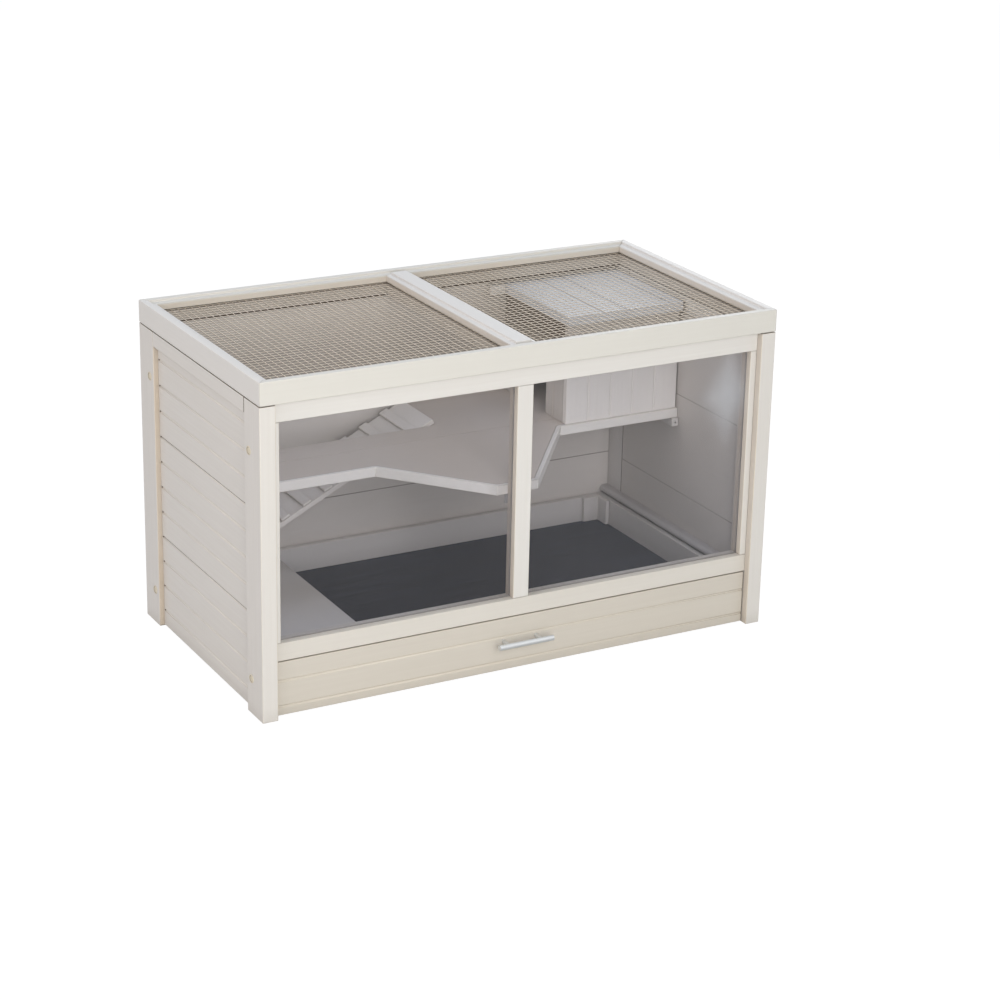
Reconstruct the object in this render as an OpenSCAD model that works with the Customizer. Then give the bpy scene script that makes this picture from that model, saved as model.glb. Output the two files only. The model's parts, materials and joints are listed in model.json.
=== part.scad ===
// Wooden hamster cage: a painted case with a mesh lid, clear front panes, a floor drawer,
// a shelf, a ramp and a hide house.
// Millimetres. X runs left to right, Y front to back, Z up from the floor.
// The origin is on the floor, in the middle of the whole outline.

/* [Case] */
// Length of the case, left to right
case_l = 980; // [900:1:1060]
// Depth of the case, front to back
case_d = 515; // [480:1:560]
// Height of the case below the lid
case_h = 549; // [535:1:580]
// Width of a corner post, seen from the front
post_w = 28; // [24:1:34]
// Depth of a corner post, seen from the side
post_d = 62; // [56:1:68]
// Gap between the floor and the lowest boards
floor_gap = 2; // [1:0.5:4]

/* [Walls] */
// How far the side boards lie behind the faces of the posts
wall_recess = 9; // [6:0.5:12]
// Thickness of the side boards
wall_t = 14; // [10:0.5:16]
// Thickness of the back boards
back_t = 12; // [10:0.5:15]
// How far the back wall stops below the tops of the posts
back_wall_drop = 2; // [0:0.5:4]
// Height of the lowest joint between two wall boards
joint_z = 171.4; // [160:0.1:180]
// Visible width of a wall board
board_w = 186.8; // [176:0.1:190]
// Number of panels that the grooves divide a wall board into
board_panels = 4; // [3:1:5]
// Width of the V grooves in the boards
groove_w = 4; // [2:0.5:6]
// Depth of the V grooves in the boards
groove_depth = 2; // [1:0.25:3]
// Height of the side walls' top rails
side_rail_h = 32; // [26:1:38]
// Bevel along the lower outer edge of those rails
rail_bevel = 6; // [3:0.5:8]

/* [Front frame] */
// How far the front frame lies behind the faces of the posts
face_recess = 14; // [10:0.5:18]
// Thickness of the front frame
frame_t = 28; // [24:0.5:32]
// Height of the frame's top rail
head_h = 34; // [28:1:40]
// Height of the frame's bottom rail
sill_h = 32; // [26:1:38]
// Height of the bottom rail's underside above the floor
sill_z = 100; // [90:1:110]
// Width of the frame's side stiles
stile_w = 12; // [9:0.5:16]
// Width of the frame's centre stile
mullion_w = 30; // [24:1:40]
// Thickness of the clear panes
pane_t = 3; // [2:0.5:5]
// How far the panes lie behind the frame's front
pane_inset = 13; // [9:0.5:16]
// How far the panes reach into the frame's grooves
pane_edge = 6; // [4:0.5:8]

/* [Lid] */
// Gap between the case and the lid
lid_gap = 1; // [0.5:0.25:2]
// Height of the lid frame
lid_h = 40; // [34:1:46]
// Width of the lid's outer rails
lid_rail_w = 24; // [21:0.5:28]
// Width of the flat top of the lid's outer rails
lid_flat = 13; // [10:0.5:16]
// Width of the lid's centre bar
lid_bar_w = 48; // [42:1:56]
// Width of the flat top of the lid's centre bar
lid_bar_flat = 30; // [22:1:34]
// Drop from the flat top to the shoulder inside it
lid_step = 4; // [2:0.5:6]
// Fall of the shoulder towards the mesh
shoulder_fall = 1; // [0:0.5:2]

/* [Lid mesh] */
// Distance between the wires of the mesh
mesh_pitch = 12.7; // [10:0.1:25.4]
// Diameter of a mesh wire
wire_d = 1.2; // [0.8:0.1:2]
// Depth of the mesh below the top of the lid
mesh_drop = 18; // [14:0.5:22]
// How far the wires reach into the lid's grooves
mesh_edge = 5; // [3:0.5:7]

/* [Hinges] */
// Distance of each hinge from the middle of the case
hinge_x = 220; // [160:1:280]
// Width of a hinge
leaf_w = 50; // [40:1:64]
// Height of a hinge leaf, measured from the pin
leaf_h = 30; // [26:1:34]
// Thickness of a hinge leaf
leaf_t = 1.5; // [1:0.1:2]
// Diameter of the hinge knuckles
knuckle_d = 6.4; // [5.4:0.1:7.6]
// Diameter of the hinge pins
pin_d = 3; // [2.4:0.1:3.6]

/* [Hinge screws] */
// Shank diameter of a hinge screw
screw_d = 3; // [2.5:0.1:3.5]
// Head diameter of a hinge screw
screw_head_d = 6; // [5.4:0.1:7]
// Length of a hinge screw
screw_l = 10; // [7:0.5:10]
// Distance between the two screws of a leaf
screw_spread = 32; // [24:1:34]
// Distance of those screws from the pin
screw_out = 18; // [15:0.5:20]

/* [Drawer] */
// Gap above and below the drawer front, and over the drawer walls
drawer_gap = 2; // [1.5:0.25:3]
// Gap between the drawer front and the posts
drawer_end_gap = 1; // [0.5:0.25:2]
// Gap between the drawer and the back wall
drawer_back_gap = 2; // [1:0.25:4]
// Thickness of the drawer front
drawer_front_t = 16; // [12:0.5:18]
// Thickness of the drawer walls
drawer_wall_t = 12; // [9:0.5:14]
// Drop from the frame's underside to the top of the drawer walls
drawer_wall_drop = 10; // [6:0.5:14]
// Gap between the drawer walls and the posts
drawer_side_gap = 9; // [7:0.5:11]
// Height of the drawer's base board above the floor
base_z = 27; // [20:0.5:32]
// Thickness of the base board
base_t = 12; // [9:0.5:15]
// Thickness of the dark floor lining
lining_t = 2; // [1:0.25:3]
// Width of the drawer's corner strips
corner_w = 39; // [30:1:46]
// Thickness of the drawer's corner strips
corner_t = 8; // [6:0.5:10]
// Distance from the drawer front's top to its upper groove
face_groove_top = 34; // [28:1:38]
// Distance between the two grooves of the drawer front
face_groove_gap = 46; // [40:1:50]
// Height of the runners under the drawer walls
runner_h = 6; // [4:0.5:9]

/* [Handle] */
// Length of the handle's bar
handle_l = 106; // [90:1:130]
// Diameter of the handle's bar
handle_d = 10; // [8:0.5:12]
// Distance from the drawer front to the axis of the bar
handle_out = 24; // [20:0.5:30]
// Distance between the handle's two legs
handle_span = 64; // [50:1:80]
// Diameter of the handle's legs
handle_leg_d = 7; // [6:0.5:8]
// Height of the handle above the floor
handle_z = 56; // [50:0.5:58]
// Diameter of the handle's screws
handle_screw_d = 4; // [3:0.5:4.5]
// Depth of the screw thread in a leg
handle_screw_in = 9; // [6:0.5:12]
// Head diameter of the handle's screws
handle_screw_head_d = 8; // [7:0.5:9]
// Head height of the handle's screws
handle_screw_head_h = 2.5; // [2:0.25:3.5]

/* [Landing and guide] */
// Width of the landing board, from the left wall
landing_w = 195; // [170:1:220]
// Thickness of the landing board
landing_t = 12; // [9:0.5:15]
// Width of the guide strip, from the right wall
guide_w = 18; // [14:0.5:24]
// Thickness of the guide strip, whose top is level with the landing board
guide_t = 9; // [7:0.5:12]
// Radius of the guide strip's upper edge
guide_round = 8; // [4:0.5:8]

/* [Shelf] */
// Height of the shelf's top above the floor
shelf_z = 332; // [310:1:345]
// Thickness of the shelf
shelf_t = 18; // [15:0.5:21]
// Depth of the shelf at its left end, from the back wall
shelf_left_d = 288.5; // [275:0.5:300]
// How far the shelf's right front edge lies before the house
shelf_lip = 5; // [2:0.5:8]
// Distance from the middle to the start of the bay's left slope
bay_left = 180; // [160:1:200]
// Distance from the middle to the end of the bay's right slope
bay_right = 217; // [200:1:225]
// Distance from the middle to the left corner of the bay's tip
tip_left = 35; // [28:1:50]
// Distance from the middle to the right corner of the bay's tip
tip_right = 45; // [30:1:60]
// Width of the shelf's back board, from the back wall
shelf_back_w = 195.5; // [185:0.5:210]
// Width of the edging strips around the shelf's front
edging_w = 8; // [6:0.5:12]
// Side of the square cleats that carry the shelf
cleat_w = 15; // [12:0.5:18]
// Diameter of the screw hole in a cleat's front end
cleat_hole_d = 4; // [3:0.5:5]
// Depth of the screw hole in a cleat's front end
cleat_hole_in = 10; // [6:1:16]
// How far the right cleat sticks out in front of the shelf
cleat_out = 6; // [0:0.5:10]

/* [Ramp] */
// Distance from the middle to the edge of the shelf that carries the ramp's head
ramp_head_x = 10; // [0:1:30]
// How far the ramp reaches past that edge
ramp_over = 6; // [0:0.5:12]
// How far the ramp's end reaches past the start of its foot
ramp_heel = 8; // [6:0.5:10]
// Distance from the left wall to where the ramp's underside meets the landing
ramp_foot_in = 20; // [18:1:40]
// Width of the ramp
ramp_w = 122; // [100:1:124]
// Thickness of the ramp board
ramp_t = 9; // [7:0.5:12]
// Depth of the opening in the shelf above the ramp
ramp_hole_d = 133.5; // [130:0.5:140]
// Gap between the ramp and the back wall
ramp_back_gap = 9.5; // [5:0.5:11]
// Distance from the foot of the ramp to the lowest climbing strip
tread_first = 44.4; // [30:0.1:50]
// Distance between the climbing strips
tread_pitch = 46.7; // [36:0.1:60]
// Width of a climbing strip
tread_w = 18; // [12:0.5:22]
// Height of a climbing strip
tread_h = 5; // [3:0.5:6]

/* [Hide house] */
// Length of the house
house_l = 234.5; // [215:0.5:236]
// Gap between the house and the right wall
house_gap = 2.5; // [1:0.5:6]
// Depth of the house, from the back wall
house_d = 232.5; // [215:0.5:234]
// Thickness of the house walls
house_t = 12; // [9:0.5:14]
// Gap between the case's top edge and the top of the roof
roof_drop = 9; // [8:0.5:20]
// Thickness of the roof
roof_t = 17; // [12:0.5:18]
// How far the roof reaches over the left wall of the house
roof_left_over = 8; // [4:0.5:12]
// How far the roof reaches over the front of the house
roof_front_over = 15; // [10:0.5:18]
// Distance from the front of the house to the doorway
door_in = 74; // [60:1:80]
// Width of the doorway
door_w = 100; // [80:1:110]
// Height of the doorway
door_h = 118; // [100:1:130]
// Distance between the upright grooves of the house walls
house_groove_pitch = 46.7; // [40:0.1:56]
// Side of the square battens under the roof
batten_w = 14; // [13:0.5:18]
// Distance from the roof's left edge to its first groove
roof_groove_in = 72; // [60:1:84]
// Gap between the roof and the back wall
roof_back_gap = 2.5; // [1:0.5:4]
// Length of the stop block on the back wall
block_l = 32; // [24:1:40]
// Height of the stop block on the back wall
block_h = 18; // [14:1:22]
// Shank diameter of a roof screw
roof_screw_d = 3.5; // [3:0.1:4]
// Head diameter of a roof screw
roof_screw_head_d = 7; // [6:0.1:8]
// Length of a roof screw
roof_screw_l = 28; // [22:0.5:30]
// Distance of the roof screws from the back wall and from the right post
roof_screw_in = 30; // [20:1:40]

/* [Cam fittings] */
// Diameter of a cover cap
cap_d = 15; // [13:0.5:18]
// Height of a cover cap above the post
cap_h = 1.2; // [0.8:0.1:2]
// Distance of the caps from the case's front and back
cap_in = 44.5; // [42:0.5:47]
// Height of the lower caps
cap_low_z = 64; // [50:1:80]
// Distance of the upper caps from the case's top edge
cap_high_drop = 85; // [75:1:110]
// Diameter of a cam
cam_d = 12; // [10:0.5:12.5]
// Depth of a cam's hole in the post
cam_depth = 20; // [16:0.5:22]
// Diameter of a cam bolt
cam_bolt_d = 6; // [5:0.5:7]
// Depth of a cam bolt in the side board
cam_bolt_in = 24; // [18:1:32]

/* [Brackets] */
// Thickness of the bracket plates
bracket_t = 1.5; // [1:0.1:2]
// Width of the bracket plates
bracket_w = 12; // [8:0.5:14]
// Length of each bracket arm
bracket_arm = 16; // [12:0.5:20]
// Distance of the shelf's bracket from the middle
bracket_x = 14; // [10:0.5:16]

/* [Clearances] */
// Clearance of a piece in its groove or of a screw in its hole
fit_gap = 0.1; // [0.05:0.05:0.2]
// Clearance between pieces that slide or turn past each other
run_gap = 0.3; // [0.2:0.05:0.5]
// Radial clearance of the hinge pins in their knuckles
pin_gap = 0.05; // [0.02:0.01:0.1]

/* [Hidden] */

$fn = 48;
// How far a cutting shape runs past the face it cuts
cut = 1;
left = -1;
right = 1;
front = -1;
back = 1;

paint = [0.90, 0.88, 0.85];
slate = [0.26, 0.27, 0.30];
clear = [0.82, 0.86, 0.88, 0.35];
wire = [0.70, 0.69, 0.66];
steel = [0.72, 0.73, 0.74];
brushed = [0.78, 0.80, 0.82];
cream = [0.93, 0.89, 0.80];

// Case planes, right half: X values are mirrored for the left
half_l = case_l / 2;
post_in = half_l - post_w;
wall_out = half_l - wall_recess;
wall_in = wall_out - wall_t;

// Y places: the whole outline, handle to hinge, is centred on Y = 0
pin_out = knuckle_d / 2 + run_gap;
reach_front = handle_out + handle_d / 2 - face_recess;
reach_back = pin_out + knuckle_d / 2;
y_front = (reach_front - case_d - reach_back) / 2;
y_back = y_front + case_d;
y_mid = (y_front + y_back) / 2;
y_between = [y_front + post_d, y_back - post_d];
back_in = y_back - back_t;
face_y = y_front + face_recess;
frame_back = face_y + frame_t;

// Heights
wall_top = case_h - side_rail_h;
sill_top = sill_z + sill_h;
head_z = case_h - head_h;
lid_z = case_h + lid_gap;
lid_top = lid_z + lid_h;
mesh_z = lid_top - mesh_drop;
pin_z = case_h + lid_gap / 2;
runner_top = floor_gap + runner_h;
drawer_top = sill_z - drawer_wall_drop;
lining_top = base_z + base_t + lining_t;
landing_z = drawer_top + drawer_gap;
landing_top = landing_z + landing_t;
shelf_low = shelf_z - shelf_t;
roof_top = case_h - roof_drop;
roof_low = roof_top - roof_t;

// Drawer
drawer_out = post_in - drawer_side_gap;
drawer_in = drawer_out - drawer_wall_t;
drawer_y = [face_y + drawer_front_t, back_in - drawer_back_gap];
drawer_back_in = drawer_y[1] - drawer_wall_t;
drawer_face_top = sill_z - drawer_gap;

// Ramp: its underside runs from the landing board up to the left edge of the shelf's back board
ramp_foot_x = ramp_foot_in - wall_in;
ramp_rise = shelf_z - landing_top;
ramp_run = ramp_head_x - ramp_foot_x;
ramp_angle = atan2(ramp_rise, ramp_run);
ramp_l = norm([ramp_run, ramp_rise]);
ramp_along = [cos(ramp_angle), sin(ramp_angle)];
ramp_up = [-sin(ramp_angle), cos(ramp_angle)];
ramp_y = [back_in - ramp_back_gap - ramp_w, back_in - ramp_back_gap];

// House
house_end = wall_in - house_gap;
house_x = house_end - house_l;
house_y = back_in - house_d;

// Shelf outline, from the left wall round the bay to the right wall
shelf_left_y = back_in - shelf_left_d;
shelf_right_y = house_y - shelf_lip;
shelf_front = [
    [-wall_in, shelf_left_y],
    [-bay_left, shelf_left_y],
    [-tip_left, frame_back],
    [tip_right, frame_back],
    [bay_right, shelf_right_y],
    [wall_in, shelf_right_y]
];
shelf_joint_y = back_in - shelf_back_w;
shelf_hole_y = back_in - ramp_hole_d;

// ---- Shapes that repeat ----

// Box between two planes on each axis
module slab(x, y, z)
    translate([x[0], y[0], z[0]]) cube([x[1] - x[0], y[1] - y[0], z[1] - z[0]]);

// Moves a piece drawn for the right half to the side asked for
module on_side(side) mirror([side == left ? 1 : 0, 0, 0]) children();

// Moves a piece drawn for the front half to the end asked for
module at_end(end)
    translate([0, y_mid, 0]) mirror([0, end == back ? 1 : 0, 0]) translate([0, -y_mid, 0]) children();

// Extrudes an (X, Z) outline between two Y planes
module along_y(y) translate([0, y[1], 0]) rotate([90, 0, 0]) linear_extrude(y[1] - y[0]) children();

// Extrudes a (Y, Z) outline between two X planes
module along_x(x) translate([x[0], 0, 0]) rotate([90, 0, 90]) linear_extrude(x[1] - x[0]) children();

// V groove to cut: the face it cuts is at 0 and looks along the outline's first axis
module v_groove()
    polygon([
        [cut, -groove_w / 2],
        [0, -groove_w / 2],
        [-groove_depth, 0],
        [0, groove_w / 2],
        [cut, groove_w / 2]
    ]);

// Countersunk screw, head at the top; grow makes the hole for it
module screw(head_d, shank_d, length, grow = 0)
    rotate_extrude() polygon([
        [0, grow > 0 ? cut : 0],
        [head_d / 2 + grow, grow > 0 ? cut : 0],
        [head_d / 2 + grow, 0],
        [shank_d / 2 + grow, -(head_d - shank_d) / 2],
        [shank_d / 2 + grow, -length],
        [0, -length]
    ]);

// ---- Posts, walls and their fittings ----

cam_y = y_front + cap_in;
cam_heights = [cap_low_z, case_h - cap_high_drop];

// Cams and their bolts at the front right corner; grow makes the holes for them
module cam_set(grow = 0)
    for (z = cam_heights) {
        translate([half_l - cam_depth, cam_y, z]) rotate([0, 90, 0])
            cylinder(h = cam_depth + (grow > 0 ? cut : 0), d = cam_d + 2 * grow);
        cam_bolt(z, grow);
    }

// Bolt from the end of a side board to the cam in the post
module cam_bolt(z, grow) {
    from = cam_y + cam_d / 2 + fit_gap;
    to = y_between[0] + cam_bolt_in;
    translate([(wall_in + wall_out) / 2, from, z]) rotate([-90, 0, 0])
        cylinder(h = to - from + grow, d = cam_bolt_d + 2 * grow);
}

// Corner post; a back one stops level with the inner faces of the wall boards
module post(side, end)
    color(paint) on_side(side) at_end(end) difference() {
        slab([end == back ? wall_in : post_in, half_l], [y_front, y_front + post_d], [0, case_h]);
        cam_set(fit_gap);
    }

module cam_fittings()
    color(steel) for (side = [left, right], end = [front, back])
        on_side(side) at_end(end) cam_set();

module cover_caps()
    color(cream) for (side = [left, right], end = [front, back], z = cam_heights)
        on_side(side) at_end(end)
            translate([half_l, cam_y, z]) rotate([0, 90, 0]) cylinder(h = cap_h, d = cap_d);

module side_rail(side)
    color(paint) on_side(side) along_y(y_between) polygon([
        [wall_in, wall_top],
        [half_l - rail_bevel, wall_top],
        [half_l, wall_top + rail_bevel],
        [half_l, case_h],
        [wall_in, case_h]
    ]);

// Bottom and top of wall board number i, counted from the floor
function board_span(i, top) = [
    i == 0 ? floor_gap : joint_z + (i - 1) * board_w,
    i == 2 ? top : joint_z + i * board_w
];

// Heights of the grooves that touch a board
function grooves_in(span) = [
    for (z = [joint_z - board_w : board_w / board_panels : joint_z + 3 * board_w])
        if (z > span[0] - groove_w / 2 && z < span[1] + groove_w / 2) z
];

module side_board(side, i) {
    span = board_span(i, wall_top);
    color(paint) on_side(side) difference() {
        slab([wall_in, wall_out], y_between, span);
        for (z = grooves_in(span))
            along_y([y_between[0] - cut, y_between[1] + cut]) translate([wall_out, z]) v_groove();
        for (end = [front, back]) at_end(end) cam_set(fit_gap);
    }
}

module back_board(i) {
    span = board_span(i, case_h - back_wall_drop);
    color(paint) difference() {
        slab([-wall_in, wall_in], [back_in, y_back], span);
        for (z = grooves_in(span))
            along_x([-wall_in - cut, wall_in + cut]) translate([y_back, z]) v_groove();
        hinge_screws(-1, fit_gap);
    }
}

// ---- Front frame and panes ----

module pane_body(side, grow = 0)
    on_side(side) slab(
        [mullion_w / 2 - pane_edge - grow, post_in - stile_w + pane_edge + grow],
        [face_y + pane_inset - grow, face_y + pane_inset + pane_t + grow],
        [sill_top - pane_edge - grow, head_z + pane_edge + grow]
    );

// A piece of the front frame, with the panes' grooves cut into it
module frame_piece(x, z)
    color(paint) difference() {
        slab(x, [face_y, frame_back], z);
        pane_body(left, fit_gap);
        pane_body(right, fit_gap);
    }

module head_rail() frame_piece([-post_in, post_in], [head_z, case_h]);
module sill_rail() frame_piece([-post_in, post_in], [sill_z, sill_top]);
module stile_left() frame_piece([-post_in, stile_w - post_in], [sill_top, head_z]);
module stile_right() frame_piece([post_in - stile_w, post_in], [sill_top, head_z]);
module centre_stile() frame_piece([-mullion_w / 2, mullion_w / 2], [sill_top, head_z]);
module pane(side) color(clear) pane_body(side);

// ---- Lid ----

// Height where the lid's shoulder meets the rail's inner face
shoulder_z = lid_top - lid_step - shoulder_fall;
mesh_x = [lid_bar_w / 2 - mesh_edge, half_l - lid_rail_w + mesh_edge];
mesh_y = [y_front + lid_rail_w - mesh_edge, y_back - lid_rail_w + mesh_edge];
// Height of the middle of each layer of wires, from the middle of the mesh
mesh_layer = (wire_d + fit_gap) / 2;

// Groove in the lid's frame for the edges of both mesh panels
module mesh_grooves()
    for (side = [left, right]) on_side(side) slab(
        [mesh_x[0] - fit_gap, mesh_x[1] + fit_gap],
        [mesh_y[0] - fit_gap, mesh_y[1] + fit_gap],
        [mesh_z - mesh_layer - wire_d / 2 - fit_gap, mesh_z + mesh_layer + wire_d / 2 + fit_gap]
    );

// Section of an outer rail: the first axis is the distance from its outer face
module rail_section()
    polygon([
        [0, lid_z],
        [0, lid_top],
        [lid_flat, lid_top],
        [lid_flat, lid_top - lid_step],
        [lid_rail_w, shoulder_z],
        [lid_rail_w, lid_z]
    ]);

// Plan of a rail that is mitred at both ends, a little wider than the rail on each side
module mitred_plan(half, outer, inner)
    linear_extrude(lid_top + cut) polygon([
        [-half - cut, outer - cut],
        [half + cut, outer - cut],
        [half - (inner - outer) - cut, inner + cut],
        [-half + (inner - outer) + cut, inner + cut]
    ]);

module lid_long_rail(end)
    color(paint) difference() {
        at_end(end) intersection() {
            along_x([-half_l, half_l]) translate([y_front, 0]) rail_section();
            mitred_plan(half_l, y_front, y_front + lid_rail_w);
        }
        mesh_grooves();
        if (end == back) hinge_screws(1, fit_gap);
    }

module lid_short_rail(side)
    color(paint) difference() {
        on_side(side) intersection() {
            along_y([y_front, y_back]) translate([half_l, 0]) mirror([1, 0]) rail_section();
            translate([0, y_mid, 0]) rotate([0, 0, 90]) mitred_plan(case_d / 2, -half_l, lid_rail_w - half_l);
        }
        mesh_grooves();
    }

module lid_centre_bar()
    color(paint) difference() {
        along_y([y_front + lid_rail_w, y_back - lid_rail_w]) polygon([
            [-lid_bar_w / 2, lid_z],
            [-lid_bar_w / 2, shoulder_z],
            [-lid_bar_flat / 2, lid_top - lid_step],
            [-lid_bar_flat / 2, lid_top],
            [lid_bar_flat / 2, lid_top],
            [lid_bar_flat / 2, lid_top - lid_step],
            [lid_bar_w / 2, shoulder_z],
            [lid_bar_w / 2, lid_z]
        ]);
        mesh_grooves();
    }

// Places of the wires across a span, one pitch apart and centred on it
function wires(span) =
    let (gaps = floor((span[1] - span[0] - wire_d) / mesh_pitch))
    [for (i = [0 : gaps]) (span[0] + span[1] - gaps * mesh_pitch) / 2 + i * mesh_pitch];

module lid_mesh(side)
    color(wire) on_side(side) {
        for (x = wires(mesh_x))
            translate([x, mesh_y[0], mesh_z + mesh_layer]) rotate([-90, 0, 0])
                cylinder(h = mesh_y[1] - mesh_y[0], d = wire_d);
        for (y = wires(mesh_y))
            translate([mesh_x[0], y, mesh_z - mesh_layer]) rotate([0, 90, 0])
                cylinder(h = mesh_x[1] - mesh_x[0], d = wire_d);
    }

// ---- Hinges ----

knuckle_l = (leaf_w - 2 * run_gap) / 3;
// How far a leaf's plate stays away from the pin, to clear the other leaf's knuckles
leaf_start = knuckle_d / 2 + run_gap;

// Places a hinge part, drawn around the pin's axis, at both hinges
module at_hinges()
    for (side = [left, right]) translate([side * hinge_x, y_back + pin_out, pin_z]) children();

// Knuckle number i, with the tab that ties it to its plate below the pin
module knuckle(i) {
    x = -leaf_w / 2 + i * (knuckle_l + run_gap);
    difference() {
        union() {
            translate([x, 0, 0]) rotate([0, 90, 0]) cylinder(h = knuckle_l, d = knuckle_d);
            slab([x, x + knuckle_l], [-pin_out, leaf_t - pin_out], [-leaf_start, 0]);
        }
        translate([x - cut, 0, 0]) rotate([0, 90, 0])
            cylinder(h = knuckle_l + 2 * cut, d = pin_d + 2 * pin_gap);
    }
}

// Leaf that hangs below the pin and holds the knuckles named
module leaf(knuckles)
    difference() {
        union() {
            slab([-leaf_w / 2, leaf_w / 2], [-pin_out, leaf_t - pin_out], [-leaf_h, -leaf_start]);
            for (i = knuckles) knuckle(i);
        }
        leaf_screws(fit_gap);
    }

// The two screws of the leaf below the pin
module leaf_screws(grow = 0)
    for (x = [-screw_spread / 2, screw_spread / 2])
        translate([x, leaf_t - pin_out, -screw_out]) rotate([-90, 0, 0])
            screw(screw_head_d, screw_d, screw_l, grow);

// Screws of all the leaves below the pins (half = -1) or above them (half = 1)
module hinge_screws(half, grow = 0)
    at_hinges() mirror([0, 0, half == 1 ? 1 : 0]) leaf_screws(grow);

module hinge_case_leaves() color(steel) at_hinges() leaf([0, 2]);
module hinge_lid_leaves() color(steel) at_hinges() mirror([0, 0, 1]) leaf([1]);
module hinge_pins()
    color(steel) at_hinges() translate([-leaf_w / 2, 0, 0]) rotate([0, 90, 0])
        cylinder(h = leaf_w, d = pin_d);
module hinge_case_screws() color(steel) hinge_screws(-1);
module hinge_lid_screws() color(steel) hinge_screws(1);

// ---- Drawer ----

module drawer_front()
    color(paint) difference() {
        slab(
            [drawer_end_gap - post_in, post_in - drawer_end_gap],
            [face_y, drawer_y[0]],
            [floor_gap, drawer_face_top]
        );
        for (z = [drawer_face_top - face_groove_top, drawer_face_top - face_groove_top - face_groove_gap])
            along_x([-post_in, post_in]) translate([face_y, z]) mirror([1, 0]) v_groove();
        handle_screw_set(fit_gap);
    }

module drawer_side(side)
    color(paint) on_side(side)
        slab([drawer_in, drawer_out], drawer_y, [runner_top + run_gap, drawer_top]);

module drawer_back()
    color(paint) slab(
        [-drawer_in, drawer_in], [drawer_back_in, drawer_y[1]], [runner_top + run_gap, drawer_top]
    );

// Sheet that fills the drawer between its walls
module drawer_sheet(z) slab([-drawer_in, drawer_in], [drawer_y[0], drawer_back_in], z);

module drawer_base() color(paint) drawer_sheet([base_z, base_z + base_t]);
module drawer_lining() color(slate) drawer_sheet([base_z + base_t, lining_top]);

// L-shaped strips that stand in the drawer's four corners
module drawer_corner_strips()
    color(paint) for (side = [left, right], y = [drawer_back_in, drawer_y[0]])
        on_side(side) translate([drawer_in, y, lining_top])
            mirror([1, 0, 0]) mirror([0, y == drawer_back_in ? 1 : 0, 0])
                linear_extrude(drawer_top - lining_top) polygon([
                    [0, 0],
                    [corner_w, 0],
                    [corner_w, corner_t],
                    [corner_t, corner_t],
                    [corner_t, corner_w],
                    [0, corner_w]
                ]);

module handle()
    color(brushed) difference() {
        union() {
            translate([-handle_l / 2, face_y - handle_out, handle_z]) rotate([0, 90, 0])
                cylinder(h = handle_l, d = handle_d);
            for (x = [-handle_span / 2, handle_span / 2])
                translate([x, face_y - handle_out, handle_z]) rotate([-90, 0, 0])
                    cylinder(h = handle_out, d = handle_leg_d);
        }
        handle_screw_set(fit_gap);
    }

// Screws from inside the drawer into the handle's legs; grow makes the holes for them
module handle_screw_set(grow = 0)
    for (x = [-handle_span / 2, handle_span / 2])
        translate([x, face_y - handle_screw_in, handle_z]) rotate([-90, 0, 0]) {
            cylinder(h = handle_screw_in + drawer_front_t + grow, d = handle_screw_d + 2 * grow);
            translate([0, 0, handle_screw_in + drawer_front_t])
                cylinder(h = handle_screw_head_h, d = handle_screw_head_d);
        }

module handle_screws() color(steel) handle_screw_set();

module drawer_runners()
    color(paint) for (side = [left, right])
        on_side(side) slab([drawer_in, wall_in], y_between, [floor_gap, runner_top]);

// ---- Boards along the walls above the drawer ----

// Board along the right wall that fits round the front post, level with the landing's top
module wall_strip(w, t)
    translate([0, 0, landing_top - t]) linear_extrude(t) polygon([
        [wall_in - w, frame_back],
        [post_in, frame_back],
        [post_in, y_between[0]],
        [wall_in, y_between[0]],
        [wall_in, back_in],
        [wall_in - w, back_in]
    ]);

// Strip with a rounded upper edge, which keeps bedding out of the gap beside the drawer
module guide_strip()
    color(paint) on_side(right) intersection() {
        wall_strip(guide_w, guide_t);
        along_y([frame_back, back_in]) translate([wall_in - guide_w, landing_top - 2 * guide_t])
            offset(guide_round) offset(-guide_round) square([2 * guide_w, 2 * guide_t]);
    }

module landing_board() color(paint) on_side(left) wall_strip(landing_w, landing_t);

// ---- Shelf ----

function unit(v) = v / norm(v);
function left_normal(a, b) = let (d = unit(b - a)) [-d[1], d[0]];

// Corner i of a path, moved inwards by a distance from both of its edges
function inset(path, i, by) =
    let (
        n = len(path) - 1,
        before = i == 0 ? [0, 1] : left_normal(path[i - 1], path[i]),
        after = i == n ? [0, 1] : left_normal(path[i], path[i + 1])
    )
    i == 0 ? path[0] + by * after / after[1] :
    i == n ? path[n] + by * before / before[1] :
    path[i] + by * (before + after) / (1 + before * after);

shelf_inner = [for (i = [0 : len(shelf_front) - 1]) inset(shelf_front, i, edging_w)];

module shelf_sheet(outline)
    color(paint) translate([0, 0, shelf_low]) linear_extrude(shelf_t) polygon(outline);

module shelf_front_board()
    shelf_sheet(concat(shelf_inner, [[wall_in, shelf_joint_y], [-wall_in, shelf_joint_y]]));

module shelf_back_board()
    shelf_sheet([
        [-wall_in, shelf_joint_y],
        [wall_in, shelf_joint_y],
        [wall_in, back_in],
        [ramp_head_x, back_in],
        [ramp_head_x, shelf_hole_y],
        [-wall_in, shelf_hole_y]
    ]);

module shelf_edging()
    for (i = [0 : len(shelf_front) - 2])
        shelf_sheet([shelf_front[i], shelf_front[i + 1], shelf_inner[i + 1], shelf_inner[i]]);

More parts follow.
